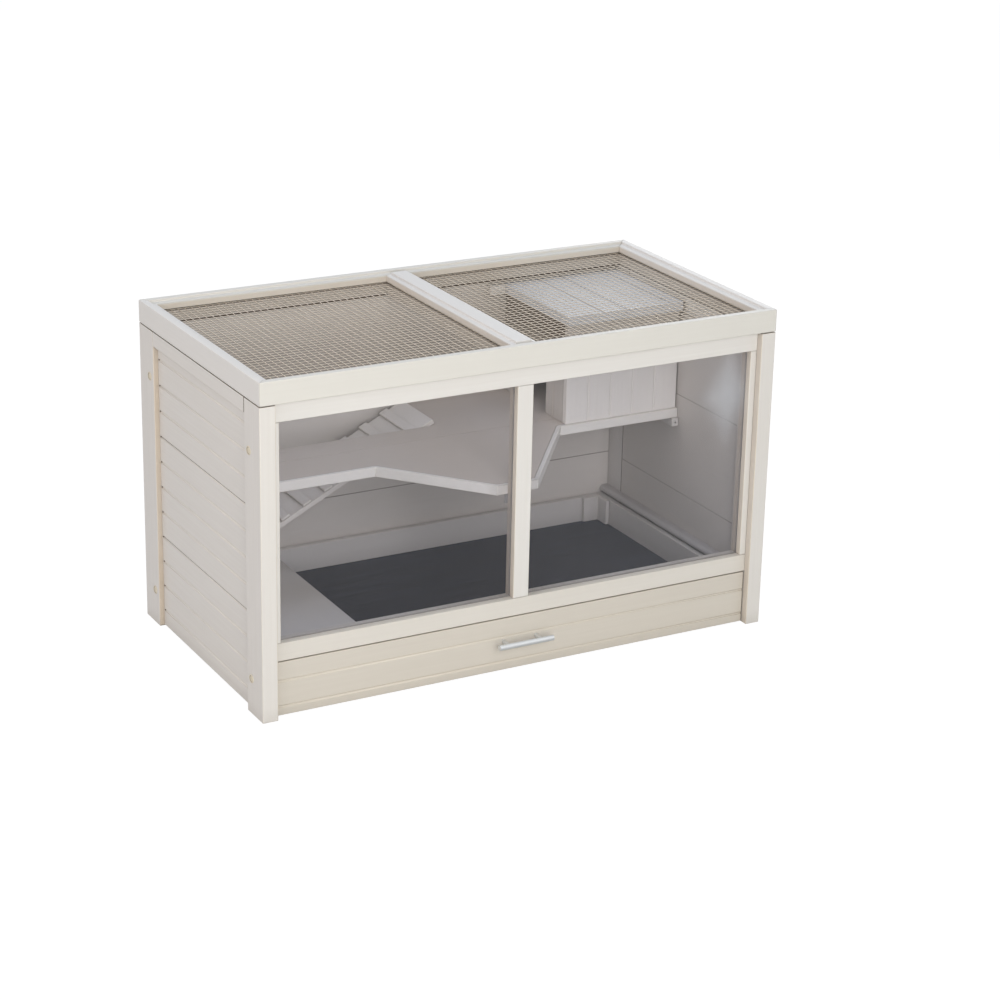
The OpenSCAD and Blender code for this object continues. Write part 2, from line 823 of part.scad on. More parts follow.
// Cleat under the shelf along a side wall, with a screw hole in its front end
module shelf_cleat(side, y)
    on_side(side) difference() {
        slab([wall_in - cleat_w, wall_in], y, [shelf_low - cleat_w, shelf_low]);
        translate([wall_in - cleat_w / 2, y[0] - cut, shelf_low - cleat_w / 2]) rotate([-90, 0, 0])
            cylinder(h = cleat_hole_in + cut, d = cleat_hole_d);
    }

module shelf_cleats()
    color(paint) {
        shelf_cleat(left, [shelf_left_y, shelf_hole_y]);
        shelf_cleat(right, [shelf_right_y - cleat_out, y_between[1]]);
    }

module brackets() color(steel) {
    tip_bracket();
    ramp_bracket();
}

// Angle under the bay's tip, against the back of the centre stile
module tip_bracket() {
    x = [-bracket_x - bracket_w / 2, bracket_w / 2 - bracket_x];
    slab(x, [frame_back, frame_back + bracket_arm], [shelf_low - bracket_t, shelf_low]);
    slab(x, [frame_back, frame_back + bracket_t], [shelf_low - bracket_arm, shelf_low - bracket_t]);
}

// Bent plate under the head of the ramp, from the shelf's underside to the ramp's
module ramp_bracket() {
    y = ramp_y[0] + ramp_w / 2;
    end = [ramp_head_x, shelf_z] - bracket_arm * ramp_along;
    low_bend = [
        ramp_head_x - bracket_t,
        shelf_z - bracket_t * tan(ramp_angle) - bracket_t / cos(ramp_angle)
    ];
    along_y([y - bracket_w / 2, y + bracket_w / 2]) polygon([
        [ramp_head_x + bracket_arm, shelf_low],
        [ramp_head_x, shelf_low],
        [ramp_head_x, shelf_z],
        end,
        end - bracket_t * ramp_up,
        low_bend,
        [ramp_head_x - bracket_t, shelf_low - bracket_t],
        [ramp_head_x + bracket_arm, shelf_low - bracket_t]
    ]);
}

// ---- Ramp ----

// Board with square ends whose lower corner is cut flat to stand on the landing
module ramp_board() {
    foot = [ramp_foot_x, landing_top];
    head = [ramp_head_x, shelf_z] + ramp_over * ramp_along;
    color(paint) along_y(ramp_y) polygon([
        foot,
        head,
        head + ramp_t * ramp_up,
        foot - ramp_heel * ramp_along + ramp_t * ramp_up,
        foot - [ramp_heel / cos(ramp_angle), 0]
    ]);
}

module ramp_treads()
    color(paint) translate([ramp_foot_x, ramp_y[0], landing_top]) rotate([0, -ramp_angle, 0])
        for (at = [tread_first : tread_pitch : ramp_l - tread_w])
            translate([at, 0, ramp_t]) cube([tread_w, ramp_w, tread_h]);

// ---- Hide house ----

// Places of the upright grooves along a wall, from its corner to its end
function upright_grooves(from, to) =
    [for (p = [from + house_groove_pitch : house_groove_pitch : to - groove_w]) p];

// V groove that runs up a wall at a place in plan
module upright_groove(x, y, turn)
    translate([x, y, shelf_z - cut]) rotate([0, 0, turn])
        linear_extrude(roof_low - shelf_z + 2 * cut) v_groove();

module house_front()
    color(paint) difference() {
        slab([house_x, house_end], [house_y, house_y + house_t], [shelf_z, roof_low]);
        for (x = upright_grooves(house_x, house_end)) upright_groove(x, house_y, -90);
    }

module house_side()
    color(paint) difference() {
        slab([house_x, house_x + house_t], [house_y + house_t, back_in], [shelf_z, roof_low]);
        slab(
            [house_x - cut, house_x + house_t + cut],
            [house_y + door_in, house_y + door_in + door_w],
            [shelf_z - cut, shelf_z + door_h]
        );
        for (y = upright_grooves(house_y, back_in)) upright_groove(house_x, y, 180);
    }

// Countersunk screws through the roof into its battens; grow makes the holes for them
module roof_screw_set(grow = 0) {
    side_x = house_x + house_t + batten_w / 2;
    front_y = house_y + house_t + batten_w / 2;
    for (p = [
        [side_x, back_in - roof_screw_in],
        [side_x, front_y],
        [house_end - roof_screw_in, front_y]
    ])
        translate([p[0], p[1], roof_top]) screw(roof_screw_head_d, roof_screw_d, roof_screw_l, grow);
}

module house_roof() {
    x = [house_x - roof_left_over, house_end];
    y = [house_y - roof_front_over, back_in - roof_back_gap];
    color(paint) difference() {
        slab(x, y, [roof_low, roof_top]);
        for (gx = [x[0] + roof_groove_in : house_groove_pitch : x[1] - groove_w])
            along_y([y[0] - cut, y[1] + cut]) translate([gx, roof_top]) rotate(90) v_groove();
        roof_screw_set(fit_gap);
    }
}

// Battens under the roof, and the stop block on the back wall beside it
module house_battens()
    color(paint) {
        difference() {
            union() {
                slab(
                    [house_x + house_t, house_x + house_t + batten_w],
                    [house_y + house_t + batten_w, back_in],
                    [roof_low - batten_w, roof_low]
                );
                slab(
                    [house_x + house_t, house_end],
                    [house_y + house_t, house_y + house_t + batten_w],
                    [roof_low - batten_w, roof_low]
                );
            }
            roof_screw_set(fit_gap);
        }
        slab(
            [house_x - roof_left_over - run_gap - block_l, house_x - roof_left_over - run_gap],
            [back_in - cleat_w, back_in],
            [roof_top - block_h, roof_top]
        );
    }

module roof_screws() color(steel) roof_screw_set();

// ---- One line per node ----

post(left, front);  // post_front_left
post(right, front);  // post_front_right
post(left, back);  // post_back_left
post(right, back);  // post_back_right
side_rail(left);  // side_rail_left
side_rail(right);  // side_rail_right
side_board(left, 0);  // left_board_low
side_board(left, 1);  // left_board_mid
side_board(left, 2);  // left_board_top
side_board(right, 0);  // right_board_low
side_board(right, 1);  // right_board_mid
side_board(right, 2);  // right_board_top
back_board(0);  // back_board_low
back_board(1);  // back_board_mid
back_board(2);  // back_board_top
head_rail();
sill_rail();
stile_left();
stile_right();
centre_stile();
pane(left);  // pane_left
pane(right);  // pane_right
lid_long_rail(front);  // lid_front_rail
lid_long_rail(back);  // lid_back_rail
lid_short_rail(left);  // lid_left_rail
lid_short_rail(right);  // lid_right_rail
lid_centre_bar();
lid_mesh(left);  // lid_mesh_left
lid_mesh(right);  // lid_mesh_right
hinge_case_leaves();
hinge_lid_leaves();
hinge_pins();
hinge_case_screws();
hinge_lid_screws();
drawer_front();
drawer_side(left);  // drawer_side_left
drawer_side(right);  // drawer_side_right
drawer_back();
drawer_base();
drawer_lining();
drawer_corner_strips();
handle();
handle_screws();
drawer_runners();
guide_strip();
landing_board();
shelf_front_board();
shelf_back_board();
shelf_edging();
shelf_cleats();
brackets();
ramp_board();
ramp_treads();
house_front();
house_side();
house_roof();
house_battens();
roof_screws();
cam_fittings();
cover_caps();
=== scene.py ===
import json
import math

import bmesh
import bpy
from mathutils import Matrix, Vector
from mathutils.bvhtree import BVHTree


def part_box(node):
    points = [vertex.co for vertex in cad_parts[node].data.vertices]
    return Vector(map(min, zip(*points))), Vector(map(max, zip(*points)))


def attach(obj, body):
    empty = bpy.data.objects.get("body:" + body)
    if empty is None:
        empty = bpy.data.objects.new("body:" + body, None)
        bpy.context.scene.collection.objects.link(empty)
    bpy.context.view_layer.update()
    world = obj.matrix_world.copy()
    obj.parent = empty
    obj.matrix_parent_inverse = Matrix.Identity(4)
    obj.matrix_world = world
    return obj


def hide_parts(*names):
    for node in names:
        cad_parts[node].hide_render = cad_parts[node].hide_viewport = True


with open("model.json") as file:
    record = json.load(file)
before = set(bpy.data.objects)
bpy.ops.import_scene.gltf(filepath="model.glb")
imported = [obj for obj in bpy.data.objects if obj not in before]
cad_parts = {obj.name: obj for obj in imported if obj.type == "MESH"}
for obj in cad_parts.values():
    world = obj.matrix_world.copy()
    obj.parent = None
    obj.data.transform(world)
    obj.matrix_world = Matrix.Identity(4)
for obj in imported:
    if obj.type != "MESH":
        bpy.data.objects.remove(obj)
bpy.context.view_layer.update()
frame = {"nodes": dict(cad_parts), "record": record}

MM = 0.001
NODES = frame["nodes"]
BODY_OF = {
    node: body
    for body, members in frame["record"]["behaviour"]["bodies"].items()
    for node in members
}
SLOT_OF = {row["node"]: row["material_slot"] for row in frame["record"]["subparts"]}


# ---- Camera, light and floor ----

CAMERA_AT = Vector((-2.0648, -3.8652, 1.8748))
AZIMUTH = math.radians(-29.12)
ELEVATION = math.radians(20.563)
ROLL = math.radians(1.292)
LENS_MM = 94.66
SENSOR_MM = 36
VIEW_END = 50


def place_camera():
    """Stands at the cage's left front corner and looks down at it."""
    right = Vector((math.cos(AZIMUTH), math.sin(AZIMUTH), 0))
    back = Vector((
        math.sin(AZIMUTH) * math.cos(ELEVATION),
        -math.cos(AZIMUTH) * math.cos(ELEVATION),
        math.sin(ELEVATION),
    ))
    up = back.cross(right)
    across = right * math.cos(ROLL) + up * math.sin(ROLL)
    upwards = up * math.cos(ROLL) - right * math.sin(ROLL)
    data = bpy.data.cameras.new("camera")
    data.lens = LENS_MM
    data.sensor_width = SENSOR_MM
    data.clip_end = VIEW_END
    camera = bpy.data.objects.new("camera", data)
    turn = Matrix((across, upwards, back)).transposed().to_4x4()
    camera.matrix_world = Matrix.Translation(CAMERA_AT) @ turn
    bpy.context.scene.collection.objects.link(camera)
    bpy.context.scene.camera = camera


# Each lamp's name, place, the height over the middle that it looks at, size, watts and colour
LAMPS = (
    ("front", (-0.9, -3.4, 1.5), 0.3, 1.8, 50, (1.0, 0.97, 0.94)),
    ("low", (-0.9, -3.8, 0.5), 0.3, 1.2, 15, (1.0, 0.97, 0.84)),
    ("left", (-3.2, -0.4, 1.7), 0.3, 2.0, 25, (1.0, 0.89, 0.86)),
    ("top", (0.2, 0.5, 3.2), 0.4, 2.2, 18, (0.62, 0.74, 1.0)),
    ("back", (2.8, 2.6, 1.4), 0.3, 2.0, 16, (1.0, 0.98, 0.95)),
)


def soft_lamp(name, place, height, size, watts, colour):
    """A square softbox that looks at a point over the cage's middle. The camera can't see it."""
    data = bpy.data.lights.new(name, "AREA")
    data.size = size
    data.energy = watts
    data.color = colour
    lamp = bpy.data.objects.new(name, data)
    aim = (Vector((0, 0, height)) - Vector(place)).to_track_quat("-Z", "Y")
    lamp.matrix_world = Matrix.Translation(place) @ aim.to_matrix().to_4x4()
    lamp.visible_camera = False
    bpy.context.scene.collection.objects.link(lamp)


# ---- Shader maths ----

class Value:
    """A socket of a recipe. Sums, differences and products of values add their own nodes."""

    def __init__(self, recipe, socket):
        self.recipe = recipe
        self.socket = socket

    def maths(self, operation, first, second):
        """The result of a Math node."""
        return self.recipe.add("ShaderNodeMath", {"operation": operation}, {0: first, 1: second})

    def __add__(self, other):
        return self.maths("ADD", self, other)

    def __radd__(self, other):
        return self.maths("ADD", other, self)

    def __sub__(self, other):
        return self.maths("SUBTRACT", self, other)

    def __rsub__(self, other):
        return self.maths("SUBTRACT", other, self)

    def __mul__(self, other):
        return self.maths("MULTIPLY", self, other)

    def __rmul__(self, other):
        return self.maths("MULTIPLY", other, self)

    def __abs__(self):
        return self.maths("ABSOLUTE", self, 0)

    def above(self, level, blur):
        """1 where this value is above a level, 0 below it, with a soft step between."""
        return self.recipe.add(
            "ShaderNodeMapRange",
            {"interpolation_type": "SMOOTHSTEP"},
            {"Value": self, "From Min": level - blur, "From Max": level + blur},
        )

    def below(self, level, blur):
        """1 where this value is below a level, 0 above it, with a soft step between."""
        return 1 - self.above(level, blur)


class Recipe:
    """A material or a world under construction."""

    def __init__(self, name, world=False):
        self.made = (bpy.data.worlds if world else bpy.data.materials).new(name)
        self.made.use_nodes = True
        self.tree = self.made.node_tree
        self.tree.nodes.clear()
        kind = "ShaderNodeOutputWorld" if world else "ShaderNodeOutputMaterial"
        self.output = self.tree.nodes.new(kind)

    def add(self, kind, settings=None, inputs=None, output=0):
        """Adds a node: first its settings, then its sockets' values or links."""
        node = self.tree.nodes.new(kind)
        for name, setting in (settings or {}).items():
            setattr(node, name, setting)
        for name, value in (inputs or {}).items():
            socket = node.inputs[name]
            if isinstance(value, Value):
                self.tree.links.new(value.socket, socket)
            elif isinstance(value, tuple) and len(value) == 3 and socket.type == "RGBA":
                socket.default_value = (*value, 1)
            else:
                socket.default_value = value
        return Value(self, node.outputs[output])

    def place(self, stretch=(1, 1, 1)):
        """The point in the cage's own metres, stretched along each axis."""
        point = self.add("ShaderNodeTexCoord", output="Object")
        return self.add("ShaderNodeVectorMath", {"operation": "MULTIPLY"}, {0: point, 1: stretch})

    def noise(self, stretch, detail=3.0):
        """Smooth noise from 0 to 1, with grains of 1 / stretch metres along each axis."""
        return self.add(
            "ShaderNodeTexNoise", {},
            {"Vector": self.place(stretch), "Scale": 1.0, "Detail": detail},
        )

    def part(self, vector, axis):
        """One component of a vector."""
        return self.add("ShaderNodeSeparateXYZ", {}, {0: vector}, output="XYZ".index(axis))

    def facing(self, axis):
        """How far a face turns towards an axis of its own piece, from -1 to 1."""
        return self.part(self.add("ShaderNodeTexCoord", output="Normal"), axis)

    def mark(self, name):
        """A number from 0 to 1 that the pieces' meshes carry under a name."""
        return self.add("ShaderNodeAttribute", {"attribute_name": name}, output="Fac")

    def openness(self, reach):
        """1 on an open face, and less in a corner that other faces close in within a reach."""
        return self.add(
            "ShaderNodeAmbientOcclusion", {"samples": 5}, {"Distance": reach}, output="AO"
        )

    def mix(self, amount, first, second):
        """A colour between two colours."""
        return self.add(
            "ShaderNodeMix", {"data_type": "RGBA"}, {0: amount, 6: first, 7: second}, output=2
        )

    def bump(self, height, depth, strength):
        """A normal that shows a height map of a depth in metres."""
        return self.add(
            "ShaderNodeBump", {}, {"Height": height, "Distance": depth, "Strength": strength}
        )

    def principled(self, **inputs):
        """A Principled shader, whose sockets are named with _ for each space."""
        named = {name.replace("_", " "): value for name, value in inputs.items()}
        return self.add("ShaderNodeBsdfPrincipled", {}, named)

    def show(self, shader):
        """Hands over the finished material or world, which shows a shader."""
        self.tree.links.new(shader.socket, self.output.inputs["Surface"])
        return self.made


def srgb(red, green, blue):
    """A colour written as three numbers up to 255, as the linear values that sockets hold."""
    def linear(level):
        level = level / 255
        return level / 12.92 if level <= 0.04045 else ((level + 0.055) / 1.055) ** 2.4
    return (linear(red), linear(green), linear(blue))


# ---- Finishes ----

PAINT = srgb(232, 229, 225)
SILL_PAINT = srgb(229, 225, 218)
# A darker copy of the paint: painted shade on the drawer front, low on the cage
DRAWER_PAINT = srgb(219, 213, 203)
BACK_PAINT = srgb(234, 229, 223)
# A darker copy of the paint: painted shade inside the cage and on the house's side
SIDE_PAINT = srgb(222, 217, 211)
SHELF_PAINT = srgb(224, 214, 204)
# A lighter copy of the paint: painted light on the shelf edging
BRIGHT_PAINT = srgb(255, 252, 246)
# A lighter copy of the paint: painted light on the lid, the stiles and the head rail
LID_PAINT = srgb(235, 233, 230)
LID_LONG_PAINT = srgb(228, 226, 220)
# A lighter copy of the paint: painted light on the house front and the ramp
HOUSE_PAINT = srgb(252, 248, 243)
# A darker copy of the paint: painted shade on the guide strip
GUIDE_PAINT = srgb(198, 195, 194)
# A bluish copy of the paint: the cool light from above painted onto the roof
ROOF_PAINT = srgb(223, 227, 234)
CREAM = srgb(226, 214, 194)
WARM_SHADE = srgb(208, 186, 156)
SHADE = srgb(176, 164, 150)
CORNER_SHADE = srgb(118, 106, 92)
SHADE_AND_GRIME = srgb(90, 76, 61)
SLATE = srgb(27, 30, 42)
SLATE_STREAK = srgb(48, 54, 72)
SLATE_GRAIN = srgb(84, 90, 104)
WIRE = srgb(224, 214, 200)
WIRE_DUST = srgb(186, 175, 160)
HINGE_ZINC = srgb(205, 206, 208)
SCREW_ZINC = srgb(188, 189, 191)
ZINC_DUST = srgb(150, 147, 142)
BRUSHED = srgb(228, 231, 233)
BRUSHED_DARK = srgb(196, 200, 203)
CAP_PLASTIC = srgb(226, 217, 197)
CAP_MOTTLE = srgb(202, 190, 164)
PANE_TINT = (0.92, 0.922, 0.943)
# The white of the painted reflection on the panes
SHEEN_WHITE = srgb(232, 238, 246)
CORNER_REACH = 28 * MM

# Stretch of the brush strokes that run along each axis
STROKES = {"X": (6, 220, 220), "Y": (220, 6, 220), "Z": (220, 220, 6)}
FINE_RELIEF = 0.1 * MM
STONY_RELIEF = 0.3 * MM


def painted_wood(
    name, grain, colour=PAINT, tan_shade=None, dark=None, inner=None,
    brush=0.14, seam=0.6, wear=0.3, corner=0.3,
):
    """Satin paint brushed along the grain, with masks that add painted shade: warm tan, dark and
    inner.

    Brush says how much the strokes show, seam how dark the painted shade and dirt at a joint's
    edge are, wear how creamy a free one is, and corner how much painted shade lies in corners.
    """
    recipe = Recipe(name)
    strokes = recipe.noise(STROKES[grain], detail=2)
    patches = recipe.noise((9, 9, 9), detail=2)
    if inner:
        # Painted shade: a darker paint on the faces inside the cage
        colour = recipe.mix(inner(recipe), colour, SIDE_PAINT)
    tone = recipe.mix(strokes * brush + patches * 0.04, colour, SHADE)
    if tan_shade:
        # Painted warm shade on faces that look into recesses
        tone = recipe.mix(tan_shade(recipe) * (0.6 + patches * 0.5), tone, WARM_SHADE)
    tone = recipe.mix(recipe.mark("worn") * (0.05 + strokes * wear), tone, CREAM)
    # Painted shade in the corners, from ambient occlusion
    tone = recipe.mix((1 - recipe.openness(CORNER_REACH)) * corner, tone, CORNER_SHADE)
    # Painted shade and dirt along the rounded edges where pieces meet
    tone = recipe.mix(recipe.mark("joint") * (seam + patches * 0.3 * seam), tone, SHADE_AND_GRIME)
    # Painted shade and shadows where the finish's own mask says so
    if dark:
        tone = recipe.mix(dark(recipe), tone, SHADE_AND_GRIME)
    return recipe.show(recipe.principled(
        Base_Color=tone,
        Roughness=0.32 + strokes * 0.14,
        Normal=recipe.bump(strokes, FINE_RELIEF, 0.5),
    ))


def slate(name):
    """Dark laminate with a fine stony grain."""
    recipe = Recipe(name)
    grains = recipe.noise((700, 700, 700), detail=3)
    streaks = recipe.noise((9, 160, 40), detail=3)
    tone = recipe.mix(streaks.above(0.5, 0.3), SLATE, SLATE_STREAK)
    tone = recipe.mix(grains.above(0.62, 0.06) * 0.25, tone, SLATE_GRAIN)
    return recipe.show(recipe.principled(
        Base_Color=tone,
        Roughness=0.5 + grains * 0.15,
        Normal=recipe.bump(grains, STONY_RELIEF, 0.5),
    ))


def zinc(name, colour, dull, metallic, roughness):
    """Zinc-plated steel with small dull clouds in its shine."""
    recipe = Recipe(name)
    clouds = recipe.noise((300, 300, 300), detail=2)
    return recipe.show(recipe.principled(
        Base_Color=recipe.mix(clouds * 0.4, colour, dull),
        Metallic=metallic,
        Roughness=roughness + clouds * 0.15,
    ))


def brushed_metal(name):
    """Satin metal, brushed round the bar."""
    recipe = Recipe(name)
    lines = recipe.noise((2500, 60, 60), detail=3)
    return recipe.show(recipe.principled(
        Base_Color=recipe.mix(lines * 0.5, BRUSHED, BRUSHED_DARK),
        Metallic=0.8,
        Roughness=0.28 + lines * 0.14,
        Normal=recipe.bump(lines, FINE_RELIEF, 0.3),
    ))


# Where the painted reflection lies on the right pane, in X and Z, and how far it reaches
SHEEN_SPOT = (415 * MM, 435 * MM)
SHEEN_REACH = 60 * MM
PLASTIC_IOR = 1.49


def clear_pane(name):
    """Clear plastic sheet: a slight grey tint, gloss at a slant, and a painted white reflection."""
    recipe = Recipe(name)
    fresnel = recipe.add("ShaderNodeFresnel", {}, {"IOR": PLASTIC_IOR})
    sheen_clouds = recipe.noise((3, 3, 3), detail=1)
    point = recipe.place()
    spread = [abs(recipe.part(point, axis) - place) for axis, place in zip("XZ", SHEEN_SPOT)]
    sheen_spot = (spread[0] * 1.6 + spread[1]).below(SHEEN_REACH, SHEEN_REACH)
    through = recipe.add("ShaderNodeBsdfTransparent", {}, {"Color": PANE_TINT})
    gloss = recipe.add("ShaderNodeBsdfGlossy", {}, {"Color": (1.0, 1.0, 1.0), "Roughness": 0.06})
    sheet = recipe.add("ShaderNodeMixShader", {}, {0: fresnel * 0.45, 1: through, 2: gloss})
    sheen = recipe.add("ShaderNodeBsdfDiffuse", {}, {"Color": SHEEN_WHITE})
    # Painted reflection: faint clouds all over and a bright spot on the right pane
    sheen_amount = sheen_clouds * 0.014 + sheen_spot * 0.2
    return recipe.show(recipe.add("ShaderNodeMixShader", {}, {0: sheen_amount, 1: sheet, 2: sheen}))


def cream_plastic(name):
    """Semi-matt moulded cap, with painted shade in the crease inside its rim."""
    recipe = Recipe(name)
    mottle = recipe.noise((900, 900, 900))
    tone = recipe.mix(mottle * 0.3, CAP_PLASTIC, CAP_MOTTLE)
    return recipe.show(recipe.principled(
        Base_Color=recipe.mix(recipe.mark("joint") * 0.6, tone, SHADE_AND_GRIME),
        Roughness=0.45,
        Normal=recipe.bump(mottle, FINE_RELIEF, 0.4),
    ))


# ---- Pieces ----

EDGE_ANGLE = math.radians(20)
FLAT_ANGLE = math.radians(1)
SHORTEST_EDGE = 3 * MM
JOINT_REACH = 1.5 * MM
WELD = 0.01 * MM
ROUNDING_STEPS = 3
BOARD_ROUNDING = 0.8 * MM
FRAME_ROUNDING = 1.2 * MM
MARKED = (1, 1, 1, 1)
UNMARKED = (0, 0, 0, 1)


def surfaces():
    """Each node's box and a search tree of its faces."""
    found = {}
    for node, source in NODES.items():
        form = bmesh.new()
        form.from_mesh(source.data)
        low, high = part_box(node)
        found[node] = (low, high, BVHTree.FromBMesh(form))
        form.free()
    return found


def neighbours(node, trees):
    """The search trees of the nodes whose boxes come near a node's box."""
    low, high = trees[node][:2]
    return [
        tree for other, (start, end, tree) in trees.items()
        if other != node and all(
            start[axis] < high[axis] + JOINT_REACH and end[axis] > low[axis] - JOINT_REACH
            for axis in range(3)
        )
    ]


def ease(node, width, material, trees):
    """Shows a node with rounded edges: worn where free, marked at a joint for painted shade and
    dirt.
    """
    mesh = NODES[node].data.copy()
    form = bmesh.new()
    form.from_mesh(mesh)
    bmesh.ops.remove_doubles(form, verts=form.verts, dist=WELD)
    bmesh.ops.dissolve_limit(
        form, angle_limit=FLAT_ANGLE, verts=form.verts[:], edges=form.edges[:]
    )
    sharp = [
        edge for edge in form.edges
        if len(edge.link_faces) == 2
        and edge.calc_face_angle() > EDGE_ANGLE
        and edge.calc_length() > SHORTEST_EDGE
    ]
    made = bmesh.ops.bevel(
        form, geom=sharp, offset=width, segments=ROUNDING_STEPS, profile=0.5,
        affect="EDGES", clamp_overlap=True,
    )
    near = neighbours(node, trees)
    worn = form.loops.layers.float_color.new("worn")
    joint = form.loops.layers.float_color.new("joint")
    for face in form.faces:
        for loop in face.loops:
            loop[worn] = UNMARKED
            loop[joint] = UNMARKED
    for face in made["faces"]:
        face.smooth = True
        middle = face.calc_center_median()
        touching = any(tree.find_nearest(middle, JOINT_REACH)[0] for tree in near)
        layer = joint if touching else worn
        for loop in face.loops:
            loop[layer] = MARKED
    form.to_mesh(mesh)
    form.free()
    mesh.materials.clear()
    mesh.materials.append(material)
    piece = bpy.data.objects.new(node + "_eased", mesh)
    bpy.context.scene.collection.objects.link(piece)
    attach(piece, BODY_OF[node])
    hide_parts(node)


def finish_node(node, material):
    """Gives a CAD piece whose shape is right its finish."""
    data = NODES[node].data
    data.materials.clear()
    data.materials.append(material)


# ---- Wood ----

# Planes that bound the marks painted on the wood: in X, on both sides of the middle
WALL_OUTSIDE = 481 * MM
WALL_CORE = 474 * MM
GROOVES = (475 * MM, 480.4 * MM)
POST_INSIDE = 463 * MM
LID_SIDES = 480 * MM
DRAWER_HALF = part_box("drawer_front")[1].x

# The same in Y: the ones named ENDS count from the case's middle, the others from 0
CASE_MIDDLE = 4.15 * MM
WALL_ENDS = 190.5 * MM
LID_ENDS = 248 * MM
POST_RECESS = 200 * MM
FRAME_FACE = -240 * MM
BACK_WALL_CORE = 256 * MM

# The same in Z
BACK_WALL_TOP = 542.6 * MM
SHADED_BELOW = 500 * MM
UNDER_LID = 450 * MM
MESH_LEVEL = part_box("lid_mesh_left")[0].z
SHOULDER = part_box("lid_back_rail")[1].z - 7 * MM

# The roof's right, back and upper bound
ROOF_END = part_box("house_roof")[1]

# How far a face turns towards an axis when it counts as facing that way
SQUARELY = 0.8


def recess_mask(recipe):
    """Painted warm shade on the posts' faces in the recesses of the side walls and the front frame.
    """
    point = recipe.place()
    across = abs(recipe.part(point, "X"))
    outside = across.above(WALL_OUTSIDE, 0.3 * MM)
    facing = abs(recipe.facing("Y")).above(SQUARELY, 0.1)
    deep = abs(recipe.part(point, "Y")).below(POST_RECESS, 2 * MM)
    inside = across.below(POST_INSIDE, 0.3 * MM)
    before = recipe.part(point, "Y").below(FRAME_FACE, 0.5 * MM)
    return outside * facing * deep + inside * before * 0.4


def reveal_mask(recipe):
    """Painted warm shade on the sides of the stiles, which look into the pane openings."""
    return abs(recipe.facing("X")).above(SQUARELY, 0.1) * 0.45


def within_lid(recipe, point):
    """1 inside the lid's frame, 0 at its outer faces."""
    across = abs(recipe.part(point, "X")).below(LID_SIDES, MM)
    along = abs(recipe.part(point, "Y") - CASE_MIDDLE).below(LID_ENDS, MM)
    return across * along


def lid_mask(recipe):
    """Painted warm shade on the upright inner faces of the lid's frame."""
    point = recipe.place()
    upright = abs(recipe.facing("Z")).below(0.4, 0.1)
    low = recipe.part(point, "Z").below(SHOULDER, MM)
    return upright * low * within_lid(recipe, point) * 0.35


def under_mesh_mask(recipe):
    """Painted shade on the lid's inner faces below the mesh, and a painted shadow line at the mesh.
    """
    point = recipe.place()
    height = recipe.part(point, "Z")
    line = abs(height - MESH_LEVEL).below(1.5 * MM, 0.5 * MM)
    return (height.below(MESH_LEVEL, MM) * 0.3 + line * 0.5) * within_lid(recipe, point)


def groove_end_mask(recipe):
    """Painted shade at the ends of the side boards' grooves, where they run behind the posts."""
    point = recipe.place()
    across = abs(recipe.part(point, "X"))
    groove = across.above(GROOVES[0], MM) * across.below(GROOVES[1], 0.3 * MM)
    end = abs(recipe.part(point, "Y") - CASE_MIDDLE).above(WALL_ENDS, MM)
    return groove * end


def top_edge_mask(recipe):
    """Painted shadow on the back wall's top edge under the lid, and painted shade on its inner
    face.
    """
    point = recipe.place()
    height = recipe.part(point, "Z")
    inner = recipe.part(point, "Y").below(BACK_WALL_CORE, 2 * MM)
    # Painted shade on the inner face, darker towards the bottom
    lower_shade = height.below(SHADED_BELOW, 60 * MM) * 0.45 + 0.1
    return (height.above(BACK_WALL_TOP, 0.4 * MM) + lower_shade) * inner


def under_lid_mask(amount):
    """A mask of a house wall's upper part, which only the light through the mesh reaches."""
    def mask(recipe):
        return recipe.part(recipe.place(), "Z").above(UNDER_LID, 50 * MM) * amount
    return mask


def roof_mask(recipe):
    """Painted shade in the roof's grooves, and along its right and back edges beside the walls."""
    point = recipe.place()
    slope = abs(recipe.facing("X"))
    grooves = slope.above(0.4, 0.1) * slope.below(0.85, 0.05) * 0.3
    right = recipe.part(point, "X").above(ROOF_END.x - 2.5 * MM, 0.5 * MM)
    back = recipe.part(point, "Y").above(ROOF_END.y - 3 * MM, 0.5 * MM)
    return grooves + right * 0.85 + back * 0.85


def drawer_end_mask(recipe):
    """Painted shadow on the ends of the drawer front, in the gaps beside the posts."""
    across = abs(recipe.part(recipe.place(), "X"))
    return across.above(DRAWER_HALF - 1.5 * MM, 0.5 * MM) * 0.7


def inner_mask(recipe):
    """The side boards' faces inside the cage, which get a darker paint as painted shade."""
    return abs(recipe.part(recipe.place(), "X")).below(WALL_CORE, 2 * MM)


# The wooden nodes whose grain runs from front to back
CROSSWISE = (
    "side_rail_left", "side_rail_right", "lid_left_rail", "lid_right_rail", "lid_centre_bar",
    "drawer_side_left", "drawer_side_right", "drawer_runners",
)

# The wooden nodes whose finish doesn't follow from their kind and grain
SPECIAL = {
    "shelf_edging": "edging", "drawer_front": "drawer", "back_board_top": "back_top",
    "back_board_mid": "back", "back_board_low": "back", "head_rail": "head", "sill_rail": "sill",
    "shelf_front_board": "shelf", "shelf_back_board": "shelf", "landing_board": "landing",
    "guide_strip": "guide", "house_front": "house", "house_side": "house_side",
    "house_roof": "roof", "ramp_board": "ramp", "ramp_treads": "ramp",
}


